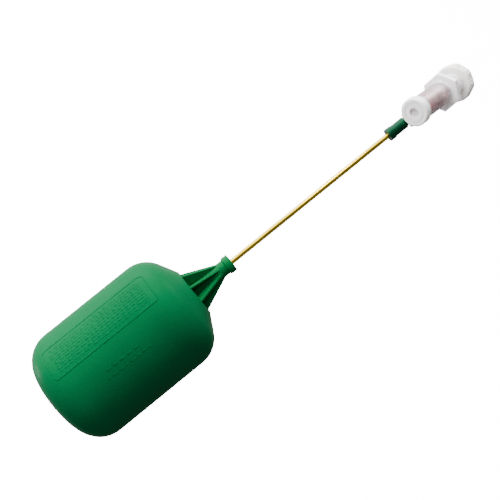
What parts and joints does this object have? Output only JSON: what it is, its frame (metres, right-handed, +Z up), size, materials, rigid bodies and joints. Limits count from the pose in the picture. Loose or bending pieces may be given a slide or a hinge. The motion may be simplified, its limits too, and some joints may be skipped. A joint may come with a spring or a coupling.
{
  "type": "float valve",
  "caption": "Tank float valve: threaded plastic inlet with lock nut, piston shut-off worked by a lever, brass rod and round-ended green float.",
  "frame": {"origin": "centre of the gasket face that meets the tank wall, on the inlet axis", "axes": "+X along the inlet axis, out of the wall towards the end cap and the float; +Z up"},
  "size_m": [0.388, 0.1, 0.3007],
  "materials": {
    "nylon_body": "natural translucent nylon",
    "nylon_seat": "white moulded nylon",
    "nylon_cap": "natural translucent nylon",
    "nylon_nut": "natural nylon",
    "black_rubber": "black nitrile rubber",
    "grey_rubber": "dark rubber",
    "pale_rubber": "pale natural rubber",
    "red_rubber": "reddish rubber",
    "brown_plastic": "dark reddish moulded plastic",
    "steel": "stainless",
    "brass_rod": "drawn brass",
    "brass_insert": "turned brass",
    "dark_green": "moulded green plastic",
    "green_neck": "moulded green plastic",
    "green_shell": "moulded green plastic"
  },
  "bodies": {
    "valve": {"valve_body": "nylon_body", "seat_nozzle": "nylon_seat", "nozzle_o_ring": "black_rubber", "wall_gasket": "pale_rubber", "end_cap": "nylon_cap", "cap_gasket": "grey_rubber", "pivot_pin": "steel", "pivot_clip": "steel"},
    "lock_nut": {"lock_nut": "nylon_nut"},
    "plunger": {"plunger": "brown_plastic", "plunger_o_ring": "black_rubber", "seal_disc": "red_rubber", "seal_retainer": "brown_plastic"},
    "lever": {"lever": "dark_green", "lever_insert": "brass_insert", "float_rod": "brass_rod", "float_neck": "green_neck", "neck_insert": "brass_insert", "neck_gasket": "grey_rubber", "float_shell": "green_shell"}
  },
  "joints": [
    {"name": "lever_pivot", "type": "hinge", "parent": "valve", "child": "lever", "pos_m": [0.038, 0, -0.018], "axis": [0, -1, 0], "range_deg": [0, 38]},
    {"name": "plunger_slide", "type": "slide", "parent": "valve", "child": "plunger", "axis": [-1, 0, 0], "range_m": [0, 0.00816]},
    {"name": "nut_spin", "type": "hinge", "parent": "valve", "child": "lock_nut", "pos_m": [-0.02, 0, 0], "axis": [1, 0, 0], "continuous": true}
  ],
  "couplings": [
    {"joint": "plunger_slide", "follows": "lever_pivot", "m_per_rad": 0.012272}
  ]
}
